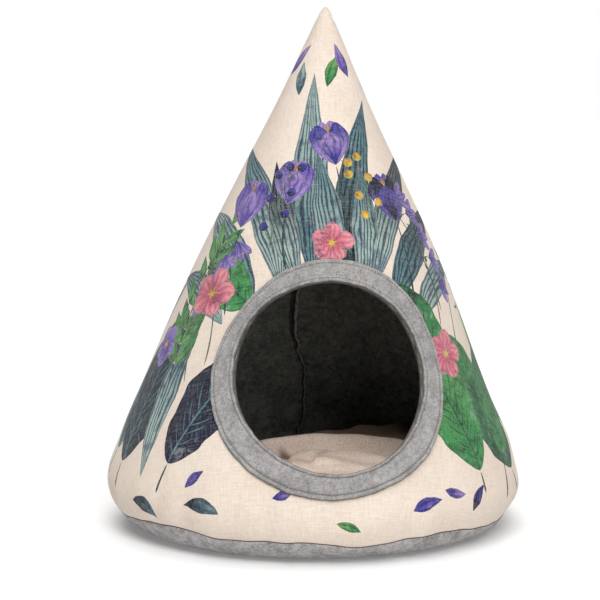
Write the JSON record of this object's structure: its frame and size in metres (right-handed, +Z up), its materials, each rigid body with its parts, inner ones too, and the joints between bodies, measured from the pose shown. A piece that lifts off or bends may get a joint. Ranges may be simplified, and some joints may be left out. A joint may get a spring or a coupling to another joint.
{
  "type": "cat teepee",
  "caption": "Cone-shaped cloth cat house with a round doorway, a stitched felt facing round it, a felt base and a loose round cushion inside.",
  "frame": {"origin": "on the floor, under the middle of the cone, at the base's underside", "axes": "+Z up along the cone; the doorway faces -Y; +X is to the right seen from in front"},
  "size_m": [0.4, 0.4011, 0.4998],
  "materials": {
    "printed_cloth": "cream linen-look weave with a painterly plant print",
    "dark_felt": "matte charcoal felt",
    "ring_felt": "light heather-grey felt",
    "base_felt": "mid heather-grey felt",
    "plush": "short cream plush"
  },
  "bodies": {
    "root": {"cover": "printed_cloth", "lining": "dark_felt", "entrance_ring": "ring_felt", "base": "base_felt", "cushion": "plush"}
  },
  "joints": []
}
